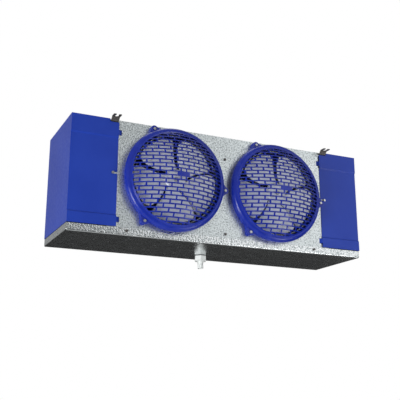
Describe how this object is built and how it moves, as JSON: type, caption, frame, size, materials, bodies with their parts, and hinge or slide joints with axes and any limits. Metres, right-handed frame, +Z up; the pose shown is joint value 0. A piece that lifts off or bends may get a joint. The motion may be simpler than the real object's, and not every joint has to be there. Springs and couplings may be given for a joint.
{
  "type": "walk-in unit cooler",
  "caption": "Low-profile ceiling unit cooler: finned coil behind axial fans with domed guards, slide-off end covers, hinged drain pan.",
  "frame": {"origin": "middle of the four hanger slots, on the top of the hanger forks", "axes": "+X along the cooler to the right seen from the fan side, -Y out of the fans, +Z up to the ceiling"},
  "size_m": [1.156, 0.4349, 0.463],
  "materials": {
    "embossed_aluminium": "stucco embossed mill aluminium",
    "plain_aluminium": "mill finish",
    "fin_aluminium": "thin corrugated fins",
    "blade_aluminium": "smooth pressed sheet",
    "copper": "copper tube, brazed",
    "brass_fitting": "turned brass",
    "motor_black": "black enamel",
    "zinc_steel": "zinc plated",
    "dark_steel": "dark coated steel",
    "blue_paint": "smooth powder coat",
    "blue_moulding": "moulded, slight gloss",
    "white_fitting": "moulded hexagon fitting",
    "black_rubber": "moulded rubber",
    "black_plastic": "moulded terminal block"
  },
  "bodies": {
    "cabinet": {"fan_panel": "embossed_aluminium", "top_panel": "plain_aluminium", "tube_sheet_right": "plain_aluminium", "tube_sheet_left": "plain_aluminium", "fan_baffle": "plain_aluminium", "coil": "fin_aluminium", "return_bends_left": "copper", "return_bends_right": "copper", "liquid_distributor": "copper", "suction_header": "copper", "access_valve": "brass_fitting", "fan_motor_left": "motor_black", "fan_motor_right": "motor_black", "motor_bracket_left": "zinc_steel", "motor_bracket_right": "zinc_steel", "fan_guard_left": "blue_moulding", "fan_guard_right": "blue_moulding", "guard_screws": "zinc_steel", "baffle_screws": "zinc_steel", "cover_screws": "zinc_steel", "hinge_pins": "zinc_steel", "hanger_right": "dark_steel", "hanger_left": "dark_steel", "hanger_bolts": "zinc_steel", "terminal_bracket": "zinc_steel", "terminal_block": "black_plastic", "cable_grommet": "black_rubber"},
    "fan_left": {"fan_blades_left": "blade_aluminium", "motor_shaft_left": "zinc_steel", "fan_nut_left": "zinc_steel"},
    "fan_right": {"fan_blades_right": "blade_aluminium", "motor_shaft_right": "zinc_steel", "fan_nut_right": "zinc_steel"},
    "cover_left": {"end_cover_left": "blue_paint"},
    "cover_right": {"end_cover_right": "blue_paint"},
    "pan": {"drain_pan": "embossed_aluminium", "pan_screws": "zinc_steel", "drain_fitting": "white_fitting", "drain_gasket": "black_rubber", "drain_locknut": "white_fitting"}
  },
  "joints": [
    {"name": "fan_left_spin", "type": "hinge", "parent": "cabinet", "child": "fan_left", "pos_m": [-0.2032, -0.1505, -0.202], "axis": [0, -1, 0], "continuous": true},
    {"name": "fan_right_spin", "type": "hinge", "parent": "cabinet", "child": "fan_right", "pos_m": [0.2032, -0.1505, -0.202], "axis": [0, -1, 0], "continuous": true},
    {"name": "cover_left_slide", "type": "slide", "parent": "cabinet", "child": "cover_left", "axis": [-1, 0, 0], "range_m": [0, 0.2]},
    {"name": "cover_right_slide", "type": "slide", "parent": "cabinet", "child": "cover_right", "axis": [1, 0, 0], "range_m": [0, 0.2]},
    {"name": "pan_hinge", "type": "hinge", "parent": "cabinet", "child": "pan", "pos_m": [0, 0.1465, -0.393], "axis": [1, 0, 0], "range_deg": [0, 75]}
  ]
}
